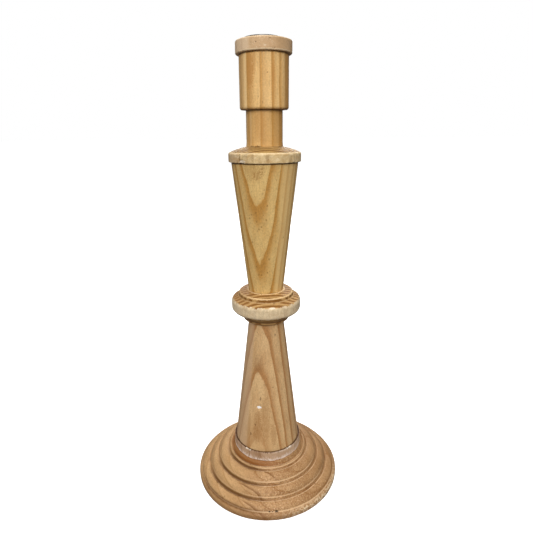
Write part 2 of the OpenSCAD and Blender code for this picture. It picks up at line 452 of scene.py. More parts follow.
class Grain(Finish):
    """Bare wood: the colour, height and roughness of its rings and fibres."""

    def __init__(self, name, outward, along, edges, pale, dark, reach=36.0, peak=0.0, sway=0.6,
                 streaks=0.5, band=0.7, fade=0.3, slope=0.35, cloud=0.25, grit=0.1, lines=0.2):
        super().__init__(name)
        pale, dark = paint(pale), paint(dark)
        self.mm = self.millimetres()
        self.x, self.y, self.z = self.parts(self.mm)
        self.out = (self.x * self.x + self.y * self.y) ** 0.5
        self.angle = self.x.maths("ARCTAN2", self.x, -self.y) * DEGREES
        turn = turned_to(outward, along)
        self.grain = self.node("ShaderNodeMapping", {}, {"Vector": self.mm, "Rotation": turn})[0]
        self.fibre = mottle(stretched(self.grain, 0.55, 0.55, 14), detail=3, rough=0.6)
        self.hair = mottle(stretched(self.grain, 0.22, 0.22, 5), detail=2, rough=0.6)
        phase = self.ring_phase(edges, reach, peak, sway)
        combed = phase + (self.fibre - 0.5) * (2.2 * streaks) * (1 - phase * 0.9)
        sharp = between(combed, band, min(band + fade, 0.99))
        late = sharp * (1 - slope) + between(combed, 0.1, 1.0) * slope
        patch = mottle(stretched(self.grain, 6, 6, 26), detail=3, rough=0.6)
        colour = mixed(late, pale, dark)
        colour = mixed(between(patch, 0.4, 0.72) * cloud, colour, dark)
        end_grain = self.end_grain(along)
        combing = between(self.fibre * 0.6 + self.hair * 0.4, 0.3, 0.7)
        speckle = mottle(stretched(self.mm, 1.3, 1.3, 1.3), detail=3, rough=0.75)
        grains = (speckle - 0.5) * (grit * 2) * (1 + 1.5 * end_grain)
        light = 1 - lines / 2 + lines * combing + grains - 0.12 * end_grain
        self.colour = self.shaded(colour, light)
        self.height = self.fibre * 0.03 + self.hair * 0.03 - late * 0.02
        self.gloss = 0.52 + (self.fibre - 0.5) * 0.25 + late * 0.05
        self.worn = self.node("ShaderNodeAttribute", {"attribute_name": "worn"}, {})[2]
        self.hollow = self.node("ShaderNodeAttribute", {"attribute_name": "hollow"}, {})[2]

    def ring_phase(self, edges, reach, peak, sway):
        """How far through its ring each point is, from 0 where the ring starts to 1 at its edge."""
        x, y, z = self.parts(self.grain)
        slow = mottle(stretched(self.grain, 9, 9, 40))
        quick = mottle(stretched(self.grain, 2.2, 2.2, 16))
        bent = (slow - 0.5) * (4 * sway)
        depth = x - peak * (y * y + 2) ** 0.5 + bent + (quick - 0.5) * (1.2 * sway)
        sockets = {"Fac": (depth + reach) / (2 * reach)}
        return self.node("ShaderNodeValToRGB", {"stops": ring_stops(edges, reach)}, sockets)[0]

    def end_grain(self, along):
        """A mask that is 1 where the surface cuts across the fibres."""
        normal = self.node("ShaderNodeTexCoord", {}, {})[1]
        sockets = {0: normal, 1: Vector(along).normalized()}
        cut = self.node("ShaderNodeVectorMath", {"operation": "DOT_PRODUCT"}, sockets)[1]
        return between(abs(cut), 0.25, 0.95)

    def shaded(self, colour, light):
        """The colour, plain or a signal, made lighter or darker by a signal near 1."""
        grey = self.node("ShaderNodeCombineXYZ", {}, {0: light, 1: light, 2: light})[0]
        settings = {"data_type": "RGBA", "blend_type": "MULTIPLY", "clamp_factor": True}
        return self.node("ShaderNodeMix", settings, {0: 1.0, 6: colour, 7: grey})[2]

    def clouds(self, wide, tall, **noise_settings):
        """A cloudy pattern with patches that wide and tall, in millimetres."""
        return mottle(stretched(self.mm, wide, wide, tall), **noise_settings)


# %% [markdown]
# ## Masks for marks
# A mark needs a place before it needs a colour. A spot is a small ragged patch on the
# surface, a ring line runs all the way round, and a sector is a slice of the turning. All are
# given by angles from the front and by millimetres, so a mark stays on its piece from any side.

# %% Place the marks


class Marked(Grain):
    """Wood with masks that say where a mark lies."""

    def spot(self, angle, height, radius, wide, tall, deep=3.0, ragged=0.5):
        """A mask that is 1 in a small ragged patch on the surface, all sizes in millimetres."""
        out = facing(angle)
        centre = out * radius + Vector((0, 0, height))
        turn = Euler((0, 0, -math.atan2(out.y, out.x)))
        sockets = {0: self.mm, 1: tuple(centre)}
        moved = self.node("ShaderNodeVectorMath", {"operation": "SUBTRACT"}, sockets)[0]
        flat = self.node("ShaderNodeMapping", {}, {"Vector": moved, "Rotation": turn})[0]
        patch = stretched(flat, deep, wide / 2, tall / 2)
        far = self.node("ShaderNodeVectorMath", {"operation": "LENGTH"}, {0: patch})[1]
        torn = self.clouds(0.9, 0.9)
        return between(far + (torn - 0.5) * ragged * 2, 1.15, 0.75)

    def ring_line(self, radius, height, width, ragged=0.5):
        """A mask for a thin line all the way round at a radius and height, broken by noise."""
        far = ((self.out - radius) ** 2 + (self.z - height) ** 2) ** 0.5 / width
        torn = self.clouds(1.5, 1.5, detail=3, rough=0.65)
        return between(far + (torn - 0.5) * (2.4 * ragged), 1.1, 0.55)

    def sector(self, start, end, soft=8):
        """A mask that is 1 between two angles from the front, in degrees."""
        opening = between(self.angle, start - soft, start + soft)
        return opening * between(self.angle, end + soft, end - soft)


# %% [markdown]
# ## The marks themselves
# Bare wood ages by a handful of marks: stains, specks, open pores, pale dry rims, dirt in the
# grooves and the fine scratches of turning. The dark in the grooves is painted shade as well as
# dirt. Each method lays one of them over the colour and, where the real mark can be felt,
# changes the height or the roughness too.

# %% Age the wood


class Wood(Marked):
    """A wooden finish that a piece's own marks are added to."""

    def stained(self, mask, tone):
        """Lays a tone over the colour where the mask is."""
        self.colour = mixed(mask, self.colour, paint(tone))

    def dabs(self, strength, tone, places, **shape):
        """Lays a tone in spots, each an angle, a height, a radius, a width and a tallness."""
        for place in places:
            self.stained(self.spot(*place, **shape) * strength, tone)

    def flecks(self, where, size, tone, low, high):
        """Small specks of a tone, such as the cut ends of fibres, inside a mask."""
        self.stained(between(self.clouds(size, size, rough=0.6), low, high) * where, tone)

    def pores(self, often=0.22, wide=1.1, long=5.0, big=0.2):
        """Short dark dashes along the fibres, where vessels are cut open."""
        sockets = {"Vector": stretched(self.grain, wide, wide, long), "Scale": 1.0}
        near, cell = self.node("ShaderNodeTexVoronoi", {"feature": "F1"}, sockets)[:2]
        chosen = between(self.parts(cell)[0], 1 - often, 1 - often + 0.05)
        mask = between(near, big, big * 0.5) * chosen
        self.stained(mask * 0.65, SOOT)
        self.height = self.height - mask * 0.10

    def dry_edges(self, tone, strength, low=0.5, high=0.85):
        """Pale, dry fibres along every edge that stands out."""
        torn = self.clouds(1.6, 1.0, detail=3, rough=0.6)
        mask = between(self.worn + (torn - 0.5) * 0.7, low, high) * strength
        self.stained(mask, tone)
        self.gloss = self.gloss + mask * 0.2

    def bleached_rim(self, tone, radius, strength):
        """Paler wood on a rim, where the lathe's sanding and the air reach it most."""
        torn = self.clouds(2.2, 2.2, detail=3, rough=0.65)
        upright = self.clouds(3.0, 9, detail=4, rough=0.75, twist=0.4)
        fine = self.clouds(0.9, 1.0, detail=3, rough=0.75)
        mask = between(self.out + (torn - 0.5) * 5.0, radius - 1.5, radius - 0.9) * strength
        light = 0.86 + 0.2 * between(upright, 0.38, 0.62) + 0.8 * (fine - 0.5)
        self.colour = mixed(mask, self.colour, self.shaded(paint(tone), light))

    def lathe_marks(self, long, fine, strength):
        """Fine scratches round the axis, left by the gouge and the sandpaper."""
        round_and_up = {0: self.x / self.out * long, 1: self.y / self.out * long,
                        2: (self.out + self.z * 0.7) / fine}
        marks = mottle(self.node("ShaderNodeCombineXYZ", {}, round_and_up)[0], detail=3, rough=0.6)
        self.colour = self.shaded(self.colour, 1 - strength / 2 + strength * marks)
        self.height = self.height + marks * (0.2 * strength)

    def shade_and_grime(self, shade_and_dirt_tone, strength=0.7, low=0.35, high=0.95):
        """Painted shade in the grooves and hollows, laid on together with dirt and old stain."""
        cloud = self.clouds(5, 2)
        mask = between(self.hollow + (cloud - 0.5) * 0.5, low, high) * strength
        self.stained(mask, shade_and_dirt_tone)
        self.gloss = self.gloss + mask * 0.15

    def done(self, bump=1.0):
        """Joins colour, roughness and height to the shader and gives the material."""
        height = self.height + self.clouds(0.35, 0.35) * 0.012
        sockets = {"Strength": 1.0, "Distance": MM * bump, "Height": height}
        normal = self.node("ShaderNodeBump", {}, sockets)[0]
        self.plug(self.shader, {"Base Color": self.colour, "Roughness": self.gloss,
                                "Normal": normal, "Specular IOR Level": 0.2})
        print(f"{self.material.name}: {len(self.tree.nodes)} nodes")
        return self.material


CREAM = (226, 205, 172)
SOOT = (92, 62, 34)

# %% [markdown]
# ## The base
# The base is a wide disc. A gouge cut three swelling steps into it, with a narrow groove
# between them, and a bead and a short slope lead up to the seat of the collar. The points are
# that cut, as shares of the measured radius and height, so that the base scales as one. The
# underside has the screw's countersink.

# %% Turn the base
GROOVE_WIDTH, GROOVE_DEPTH = 1.0, 0.8
SCREW_SINK, SCREW_SHOULDER, TENON_DEPTH = 3.9, 6.8, 13.8


def share(r, z):
    """A point of the base from its shares of the radius and the height."""
    return r * base_r, base_low + z * (base_top - base_low)


rim = share(0.960, 0.218)
steps = [(rim, share(0.857, 0.384), 1.2), (share(0.827, 0.440), share(0.729, 0.635), 1.5),
         (share(0.698, 0.696), share(0.574, 0.845), 1.4), (share(0.546, 0.882), share(0.521, 0.908), 0.5)]
edge_top = base_low + 4.0
base_outline = [(SCREW_HEAD, base_low, 0.3), (base_r - 0.1, base_low, 1.3), (base_r, edge_top, 0.8)]
base_outline += swell((base_r, edge_top), rim, 0.5)
for outer, inner, rise in steps:
    base_outline += [(*outer, 0.35)] + swell(outer, inner, rise) + [(*inner, 0.3)]
    base_outline += [(inner[0] - GROOVE_WIDTH, inner[1] - GROOVE_DEPTH, 0.4)]
base_outline += [(collar_r + 0.4, base_top, 0.2), (collar_r - 6, base_top, 0), (FOOT_HOLE, base_top, 0.3),
                 (FOOT_HOLE, base_low + TENON_DEPTH, 0.3), (SCREW_HOLE, base_low + TENON_DEPTH, 0.1),
                 (SCREW_HOLE, base_low + SCREW_SHOULDER, 0.1), (SCREW_HEAD, base_low + SCREW_SINK, 0.1)]
base_mesh = turned(base_outline, rounds=320, spacing=1.1, reach=3.0)
wear(base_mesh, seed=1, chips=0.3, uneven=0.06,
     bites=[(6.6, 7.4, 1.5, 0.9, 0.9), (1.0, 7.5, 0.8, 0.6, 0.5), (38, 15, 0.7, 1.0, 0.5)])

# %% [markdown]
# ## The base's wood
# The disc is sawn flat from a plank, so its rings lie nearly level and only lean a little to
# the right. Three ring edges cross the front as slanting lines, and the cut fibres at the front
# and right are speckled. The grooves are darkened with painted shade, most at the left front,
# the step edges get painted highlights over pale torn fibres, and the low rim gets painted shade
# at the left and painted sparkle with pale fibres at the right front.

# %% Finish the base
base_wood = Wood("flat_sawn_base", outward=(0.289, -0.143, 1), along=(0.6, -0.8, -0.29),
                 edges=(-21, -12, -3.5, 4.2, 12.0, 18.9, 28.9, 37, 45), pale=(179, 141, 98),
                 dark=(142, 99, 56), reach=52, sway=0.35, streaks=0.1, band=0.88, fade=0.1,
                 slope=0.35, cloud=0.45, grit=0.5, lines=0.25)
base_wood.pores(often=0.3, wide=0.9, long=3.5, big=0.22)
speckled = base_wood.sector(-12, 62, 14)
base_wood.lathe_marks(long=26, fine=0.7, strength=0.35)
base_wood.flecks(speckled * 0.62, 1.4, (130, 84, 48), 0.52, 0.63)
base_wood.flecks(speckled * 0.5, 1.1, (228, 192, 150), 0.57, 0.66)
base_wood.stained(base_wood.sector(24, 150, 20) * 0.34, (134, 96, 56))
base_wood.stained(base_wood.sector(-150, -24, 16) * 0.25, (208, 170, 118))

slanting = base_wood.x * 0.5 + base_wood.y * 0.866 + (base_wood.clouds(7, 7) - 0.5) * 1.2
for far, start, end in ((-36.8, -9, 8), (-53.4, -30, -4), (-62.4, -22, 2)):
    ring_edge = between(slanting, far - 0.4, far) * between(slanting, far + 2.2, far)
    base_wood.stained(ring_edge * base_wood.sector(start, end, 4) * 0.75, (112, 70, 32))
# The grooves are darkened, most of all at the left front: painted shade on risers that face away from the
# light, with some dirt.
left_front = base_wood.sector(-68, -6, 16)
base_wood.shade_and_grime((92, 56, 20), strength=0.12 + 0.75 * left_front, low=0.05, high=0.6)

low_rim = between(base_wood.z, 8.2, 4.8)
# Pale flecks on the lower rim at the right front: painted sparkle where the light catches it, with pale
# torn end-grain fibres.
sparkle_and_fibre_flecks = between(base_wood.clouds(1.8, 2.2, detail=3, rough=0.7), 0.44, 0.58)
# Painted shade on the rounded lower rim at the left, where it turns away from the light.
base_wood.stained(base_wood.sector(-72, -8, 12) * low_rim * 0.45, (122, 82, 44))
base_wood.stained(base_wood.sector(14, 85, 12) * low_rim * sparkle_and_fibre_flecks * 0.8, (228, 204, 168))
base_wood.stained(base_wood.sector(-12, 22, 8) * low_rim * 0.45, (136, 96, 60))
seat = between(base_wood.out, 37.6, 34.6)
base_wood.stained(seat * base_wood.sector(-150, 12, 20) * 0.7, (136, 82, 32))
# Pale lines along both edges of every step: painted highlights where the edges catch the light, with pale
# torn fibres.
for outer, inner, rise in steps:
    upper_edge_glint_and_fibres = base_wood.ring_line(outer[0] - 0.2, outer[1] + 0.1, 0.7, 0.8)
    lower_edge_glint_and_fibres = base_wood.ring_line(inner[0] + 0.2, inner[1] + 0.1, 0.6, 0.8)
    both = upper_edge_glint_and_fibres * 0.6 + lower_edge_glint_and_fibres * 0.65
    base_wood.stained(both * (0.25 + 0.75 * speckled), (222, 186, 144))
base_wood.dabs(0.9, (38, 26, 18), [(6.6, 7.5, 66.9, 3.4, 1.6), (1.0, 7.6, 66.9, 1.7, 1.2),
                                   (3.4, 7.6, 66.9, 0.9, 0.8)], ragged=0.7)
base_wood.dabs(0.5, (104, 70, 40), [(75, 14.5, 57.6, 2.2, 1.6), (-38, 9.8, 64.2, 1.2, 1.0),
                                    (62, 17, 55, 3.0, 1.5)])
shown("turned_base", base_mesh, base_wood.done(bump=1.8), "base")

# %% [markdown]
# ## The foot collar
# A low ring sits between the base and the column. A shallow recess in its top takes the
# column's foot with a thin gap round it, which is darkened with painted shade.

# %% Turn the foot collar
RECESS_R = 31.4
recess_floor = collar_top - 1.2
collar_outline = [(COLLAR_HOLE, collar_low, 0), (collar_r + 0.15, collar_low, 0.2),
                  (collar_r, collar_low + 3, 0.3), (collar_r - 0.1, collar_top, 0.6),
                  (RECESS_R, collar_top, 0.3), (RECESS_R, recess_floor, 0.1),
                  (COLLAR_HOLE, recess_floor, 0)]
collar_mesh = turned(collar_outline, rounds=320, spacing=0.8)
wear(collar_mesh, seed=2, chips=0.45, uneven=0.12,
     bites=[(-33, 41.6, 2.0, 1.2, 0.7), (38, 41.6, 2.2, 1.0, 0.6)])

# %% [markdown]
# ## The collar's wood
# The collar is paler and greyer than its neighbours, and its edges were left rough. Torn
# fibres catch the light along the lower edge, and a few torn bits hang over the gap.

# %% Finish the foot collar
collar_wood = Wood("grey_collar", outward=facing(20), along=(0.15, 0.1, 1),
                   edges=(-24, -14, -5, 4, 13, 22, 29), pale=(188, 156, 127), dark=(154, 119, 89),
                   sway=1.0, streaks=0.7, cloud=0.3, grit=0.15)
collar_wood.pores(often=0.15)
hairy = collar_wood.clouds(0.8, 3.5, detail=3, rough=0.7)
low_edge = between(collar_wood.z + (hairy - 0.5) * 18, base_top + 3.4, base_top + 0.8)
foot_line = between(collar_wood.z, base_top + 2.6, base_top + 1.2)
collar_wood.stained(low_edge * 0.85, (226, 208, 194))
collar_wood.flecks(foot_line * 0.8, 0.9, (240, 228, 218), 0.54, 0.62)
collar_wood.lathe_marks(long=30, fine=0.8, strength=0.2)

slanted = {0: (collar_wood.angle * 0.62 + collar_wood.z) * 0.9, 1: collar_wood.z * 0.1}
stripes = mottle(collar_wood.node("ShaderNodeCombineXYZ", {}, slanted)[0])
collar_wood.stained(between(stripes, 0.5, 0.62) * collar_wood.sector(-20, 2, 5) * 0.45, (140, 98, 62))
top_edge = between(collar_wood.z + (hairy - 0.5) * 3, collar_top - 2.2, collar_top - 0.8)
collar_wood.stained(top_edge * (0.15 + 0.5 * collar_wood.sector(14, 60, 8)), (220, 198, 176))
above_foot = between(collar_wood.z, base_top + 2, base_top + 6)
collar_wood.stained(collar_wood.sector(-30, -8, 6) * above_foot * 0.35, (146, 108, 72))
collar_wood.stained(collar_wood.sector(40, 120, 10) * 0.4, (214, 186, 158))

in_recess = between(collar_wood.z, recess_floor - 1, recess_floor)
# The recess wall round the column's foot is darkened: painted shade in the gap between the parts.
gap = between(collar_wood.out + (hairy - 0.5) * 1.6, 32.6, 32.1) * in_recess
collar_wood.stained(gap * 0.95, (84, 50, 22))
torn_bits = ((-37, 3.6), (-32, 2.8), (42, 4.0), (36, 2.2))
collar_wood.dabs(0.8, (236, 220, 200), [(angle, collar_top - 0.4, collar_r - 0.4, wide, 2.0)
                                        for angle, wide in torn_bits], deep=2.0, ragged=0.9)
shown("turned_foot_collar", collar_mesh, collar_wood.done(bump=1.5), "foot_collar")

# %% [markdown]
# ## The lower column
# The lower column narrows from the collar to the knop, with a tenon at each end and a hole
# below for the screw. Its outline starts and ends on the axis, so it isn't closed. A chip is
# missing low on the front.

# %% Turn the lower column
PILOT_TOP = 66.0
LOWER_WAIST = 16.0
column_foot = recess_floor


def on_taper(height, low, low_r, high, high_r):
    """A tapered column's radius at a height."""
    return low_r + (high_r - low_r) * (height - low) / (high - low)


lower_outline = [(0, PILOT_TOP + 0.2, 0), (SCREW_PILOT, PILOT_TOP, 0), (SCREW_PILOT, lower_low, 0),
                 (FOOT_TENON, lower_low, 0.4), (FOOT_TENON, column_foot, 0.1),
                 (lower_r, column_foot, 0.5), (LOWER_WAIST, knop_low, 0.2), (TENON, knop_low, 0.1),
                 (TENON, lower_top, 0.4), (0, lower_top, 0)]
lower_mesh = turned(lower_outline, closed=False, rounds=256, spacing=1.6)
wear(lower_mesh, seed=3, chips=0.3, uneven=0.15, bites=[(-17, 86, 6.5, 2.4, 0.9)])

# %% [markdown]
# ## The lower column's wood
# The board's rings face a little left of the front, so the taper opens them into arches that
# point upwards. The foot has faded, brown streaks follow the fibres, and the chip is white.

# %% Finish the lower column
lower_wood = Wood("lower_column_grain", outward=facing(-20), along=(0, 0, 1),
                  edges=(-32, -24.5, -17, -9, -1, 8.2, 16.0, 21.7, 29.6), pale=(206, 170, 123),
                  dark=(166, 120, 74), sway=0.5, band=0.62, slope=0.35, cloud=0.4, peak=0.05,
                  grit=0.4, lines=0.34)
lower_wood.pores(often=0.2)
lower_wood.stained(lower_wood.sector(-120, -40, 3) * 0.4, (196, 164, 134))
faded = lower_wood.spot(-14, 60, 29, 34, 46, deep=8, ragged=0.5)
faded = faded * (0.7 - 0.4 * between(lower_wood.fibre, 0.45, 0.6))
lower_wood.stained(faded, (194, 155, 108))

streaked = between(lower_wood.fibre + (lower_wood.hair - 0.5) * 0.7, 0.42, 0.58)
for angle, height, wide, tall, strength in ((-20, 66, 8, 38, 0.6), (-3, 78, 9, 56, 0.55),
                                            (12, 58, 6, 24, 0.5), (-38, 60, 4, 40, 0.4)):
    brown = lower_wood.spot(angle, height, 28.0, wide, tall, deep=6, ragged=0.8)
    lower_wood.stained(brown * (streaked * 0.7 + 0.3) * strength, (148, 104, 58))
smudged = lower_wood.spot(-24, 128, 20.5, 11, 17, deep=5, ragged=0.9)
lower_wood.stained(smudged * streaked * 0.5, (134, 98, 64))
lower_wood.lathe_marks(long=12, fine=0.5, strength=0.12)
# Dark lines at the column's foot in the collar and under the knop: painted shadow between the parts.
lower_wood.stained(lower_wood.ring_line(lower_r, column_foot + 0.1, 1.1, 0.6) * 0.7, (74, 50, 30))
lower_wood.stained(lower_wood.ring_line(16.1, knop_low, 2.4, 0.3) * 0.55, (96, 64, 34))

specks = ((-28, 158, 1.3, 0.7), (27, 156, 1.6, 1.6), (14, 106, 1.8, 0.9),
          (-24, 68, 1.6, 2.2), (-33, 57, 1.8, 3.0), (-14, 95, 1.4, 4.0))
lower_wood.dabs(0.55, (92, 66, 40), [
    (angle, height, on_taper(height, column_foot, lower_r, knop_low, LOWER_WAIST), wide, tall)
    for angle, height, wide, tall in specks])
chip = lower_wood.spot(-17, 86, 25.6, 4.4, 2.5, ragged=0.6)
lower_wood.stained(chip, (240, 236, 232))
shown("turned_lower_column", lower_mesh, lower_wood.done(), "lower_column")

# %% [markdown]
# ## The knop
# The knop is the round moulding between the columns: a narrow ring below, a wide rim, and a
# raised step above. It is bored through for both columns' tenons.

# %% Turn the knop
k = knop_low
knop_outline = [(TENON_HOLE, k, 0), (18.9, k, 0.2), (20.8, k + 0.9, 0.5), (21.0, k + 3.0, 0.3),
                (29.6, k + 9.3, 0.5), (knop_r, k + 11.2, 0.9), (knop_r, k + 19.0, 0.9),
                (30.3, k + 20.8, 0.5), (25.2, k + 23.2, 0.3), (24.7, k + 23.3, 0.1),
                (24.6, k + 26.2, 0.3), (23.6, k + 27.1, 0.4), (16.0, knop_top, 0.3),
                (TENON_HOLE, knop_top, 0)]
knop_mesh = turned(knop_outline, rounds=320, spacing=0.9)
wear(knop_mesh, seed=4, chips=0.4, uneven=0.12, bites=[(17, 189.9, 2.2, 1.6, 0.8)])

# %% [markdown]
# ## The knop's wood
# The grain runs across the disc, so its top shows brown and cream bars. The rim has dried to a
# pale cream, the edges of the steps are pale lines, and the hollows and the lower ring under
# the rim are darkened with painted shade.

# %% Finish the knop
knop_wood = Wood("knop_grain", outward=facing(7), along=(1, 0.12, 0.05),
                 edges=(-27, -22, -17.5, -13, -9, -4, 1, 6, 10.5, 15.2, 19.8, 24.6, 29.2),
                 pale=(196, 156, 100), dark=(128, 84, 34), sway=0.7, streaks=0.4, band=0.35,
                 fade=0.25, slope=0.3, cloud=0.45, grit=0.35)
knop_wood.pores(often=0.2)
# Painted shade in the knop's hollows.
knop_wood.shade_and_grime((112, 76, 40), strength=0.5)
knop_wood.bleached_rim((216, 196, 162), knop_r, strength=0.85)
knop_wood.lathe_marks(long=20, fine=0.6, strength=0.3)
knop_wood.stained(knop_wood.ring_line(24.0, k + 26.7, 0.9, 1.0) * 0.75, (230, 196, 144))
knop_wood.stained(knop_wood.ring_line(25.0, k + 23.4, 0.7, 1.1) * 0.5, (220, 184, 130))
knop_wood.stained(knop_wood.ring_line(16.3, knop_top, 1.1, 1.3) * 0.85, (236, 204, 152))

outer_rim = between(knop_wood.out, knop_r - 1.2, knop_r - 0.7)
below_top = between(knop_wood.z, k + 19.8, k + 19.0)
knop_wood.stained(knop_wood.sector(-120, -45, 12) * outer_rim * below_top * 0.4, (226, 206, 176))
sloping_top = between(knop_wood.z, k + 19.8, k + 21.5)
knop_wood.stained(knop_wood.sector(-150, -40, 20) * sloping_top * 0.4, (140, 98, 48))
patches = between(knop_wood.clouds(6, 4, detail=3, rough=0.6, twist=0.6), 0.5, 0.62)
near_rim = between(knop_wood.out, knop_r - 1.5, knop_r - 0.7)
knop_wood.stained(patches * near_rim * 0.3, (190, 158, 118))
knop_wood.dabs(0.8, (240, 226, 204), [(10, k + 20.6, 30.2, 5.5, 1.3)], deep=2.0)
# The lower ring under the rim is darkened, with a darker line where it meets the rim: painted shade under
# the rim.
knop_wood.stained(between(knop_wood.z, k + 7.5, k + 4.5) * 0.35, (134, 96, 56))
knop_wood.stained(knop_wood.ring_line(21.2, k + 4.2, 2.2, 0.3) * 0.5, (84, 56, 32))
shown("turned_knop", knop_mesh, knop_wood.done(bump=1.4), "knop")

# %% [markdown]
# ## The upper column
# The upper column widens upwards. Its tenon goes down into the knop, and a hole in its head
# takes the socket's tenon.

# %% Turn the upper column
UPPER_WAIST, UPPER_HEAD = 15.7, 28.05
hole_floor = socket_low - 1
upper_outline = [(0, upper_low, 0), (TENON, upper_low, 0.4), (TENON, knop_top, 0.1),
                 (UPPER_WAIST, knop_top, 0.2), (UPPER_HEAD, shoulder_low, 0.4),
                 (TENON_HOLE, shoulder_low, 0.1), (TENON_HOLE, hole_floor, 0.1), (0, hole_floor, 0)]
upper_mesh = turned(upper_outline, closed=False, rounds=256, spacing=1.6)
wear(upper_mesh, seed=5, chips=0.3, uneven=0.15)

# %% [markdown]
# ## The upper column's wood
# The same kind of rings as in the lower column make arches that point down here, because the
# taper is the other way round. A smudge and a scatter of pores mark the front.

# %% Finish the upper column
upper_wood = Wood("upper_column_grain", outward=facing(-14), along=(0, 0, 1),
                  edges=(-29, -22, -15.5, -9, -3, 2.6, 8.0, 13.4, 18.8, 24.2), pale=(212, 178, 116),
                  dark=(178, 130, 64), sway=0.5, streaks=0.6, band=0.5, fade=0.4, slope=0.4,
                  cloud=0.35, peak=0.1, grit=0.38, lines=0.34)
upper_wood.pores(often=0.3)
upper_wood.lathe_marks(long=12, fine=0.5, strength=0.12)
upper_wood.stained(upper_wood.sector(30, 62, 5) * 0.45, (226, 190, 130))
# A dark line round the column's head, just under the shoulder: painted shadow of the shoulder's rim.
upper_wood.stained(upper_wood.ring_line(28.1, shoulder_low, 1.3, 0.25) * 0.85, (66, 42, 22))
upper_streaks = between(upper_wood.fibre + (upper_wood.hair - 0.5) * 0.6, 0.42, 0.62)
for angle, height, wide, tall, strength in ((-22, 302, 20, 14, 0.4), (-12, 298, 7, 8, 0.5),
                                            (-3, 304, 3, 2, 0.6)):
    smudge = upper_wood.spot(angle, height, 27.4, wide, tall, deep=5, ragged=1.6)
    upper_wood.stained(smudge * (upper_streaks * strength + 0.1), (148, 102, 50))
open_pores = ((4, 274.5), (-19, 268.5), (-28, 266.8), (-34, 263.5), (2, 262.5), (-18, 261),
              (-14, 254.5), (-8, 256.5), (-31, 243), (45, 246), (4.5, 216), (-20, 213.5),
              (-12, 213.5), (9, 228), (-25, 221))
upper_wood.dabs(0.5, (118, 82, 38), [
    (angle, height, on_taper(height, knop_top, UPPER_WAIST, shoulder_low, UPPER_HEAD), 1.3, 1.7)
    for angle, height in open_pores], ragged=0.8)
shown("turned_upper_column", upper_mesh, upper_wood.done(), "upper_column")

# %% [markdown]
# ## The shoulder collar
# A flat ring caps the upper column. Its top slopes up to the neck with a gentle crown, and a
# splinter has broken from its lower edge on the left.

# %% Turn the shoulder collar
s = shoulder_low
crown_out, crown_in = (29.5, s + 7.7), (15.15, shoulder_top)
shoulder_outline = [(TENON_HOLE, s, 0), (30.1, s, 0.1), (shoulder_r, s + 0.3, 0.2),
                    (shoulder_r, s + 6.6, 0.4), (*crown_out, 0.5)]
shoulder_outline += swell(crown_out, crown_in, 0.5) + [(*crown_in, 0.2), (TENON_HOLE, shoulder_top, 0)]
shoulder_mesh = turned(shoulder_outline, rounds=320, spacing=0.9)
wear(shoulder_mesh, seed=6, chips=0.4, uneven=0.12,
     bites=[(-38, s + 1.0, 5.0, 2.2, 1.0), (-46, s + 0.6, 4.0, 1.2, 0.7)])

# %% [markdown]
# ## The shoulder's wood
# This is the knop's kind of wood, with the rings closer together. The bleached rim has cracks
# along its fibres, tan and cream patches, and pale torn fibres where the splinter left.

# %% Finish the shoulder collar
shoulder_wood = Wood("shoulder_grain", outward=facing(-3), along=(1, 0.1, 0.03),
                     edges=(-27, -23, -19, -14, -9, -4.5, 0, 4.5, 9, 13.2, 17, 20.5, 23.5, 26.8),
                     pale=(190, 153, 92), dark=(104, 66, 24), sway=0.8, streaks=0.3, band=0.42,
                     fade=0.25, slope=0.3, cloud=0.4, grit=0.45)
shoulder_wood.pores(often=0.2)
shoulder_wood.lathe_marks(long=20, fine=0.6, strength=0.25)
shoulder_wood.bleached_rim((214, 188, 142), shoulder_r, strength=0.8)
left_rim = shoulder_wood.sector(-120, -43, 2) * between(shoulder_wood.out, 28.9, 29.4)
shoulder_wood.stained(left_rim * 0.6, (194, 164, 128))
for angle, up, wide, tall, strength in (
        (-41, 3.4, 1.6, 8.0, 0.7), (-18, 3.8, 2.0, 7.0, 0.35), (3.5, 4.6, 3.0, 5.0, 0.4),
        (5, 1.8, 2.2, 3.5, 0.35), (43, 4.5, 1.4, 5.0, 0.3), (-30, 6.0, 3.0, 2.0, 0.3)):
    crack = shoulder_wood.spot(angle, s + up, shoulder_r - 0.2, wide, tall, deep=1.5, ragged=1.1)
    shoulder_wood.stained(crack * strength, (124, 88, 50))

patchy = shoulder_wood.clouds(5, 3.5, detail=3, rough=0.6, twist=0.6)
on_rim = between(shoulder_wood.out, 28.8, 29.6)
shoulder_wood.stained(between(patchy, 0.5, 0.62) * on_rim * 0.4, (176, 134, 80))
shoulder_wood.stained(between(patchy, 0.46, 0.36) * on_rim * 0.4, (234, 214, 176))
shoulder_wood.stained(shoulder_wood.ring_line(15.3, shoulder_top, 0.9, 0.5) * 0.6, (236, 200, 142))
shoulder_wood.stained(shoulder_wood.ring_line(*crown_out, 0.8, 0.7) * 0.5, (236, 214, 172))
splinter = shoulder_wood.spot(-36, s + 1.2, shoulder_r - 0.4, 6.0, 2.6, deep=1.5, ragged=1.0)
shoulder_wood.stained(splinter * between(shoulder_wood.hair, 0.42, 0.56) * 0.9, (240, 230, 216))
beside = shoulder_wood.spot(-30, s + 3, shoulder_r, 16, 7, deep=2)
shoulder_wood.flecks(beside * 0.5, 0.9, (112, 76, 42), 0.56, 0.64)
shown("turned_shoulder_collar", shoulder_mesh, shoulder_wood.done(bump=1.4), "shoulder_collar")

# %% [markdown]
# ## The candle socket
# The neck and the wider socket above it are one turning. A spigot on top takes the cap ring,
# and the hole down its middle takes the cup.

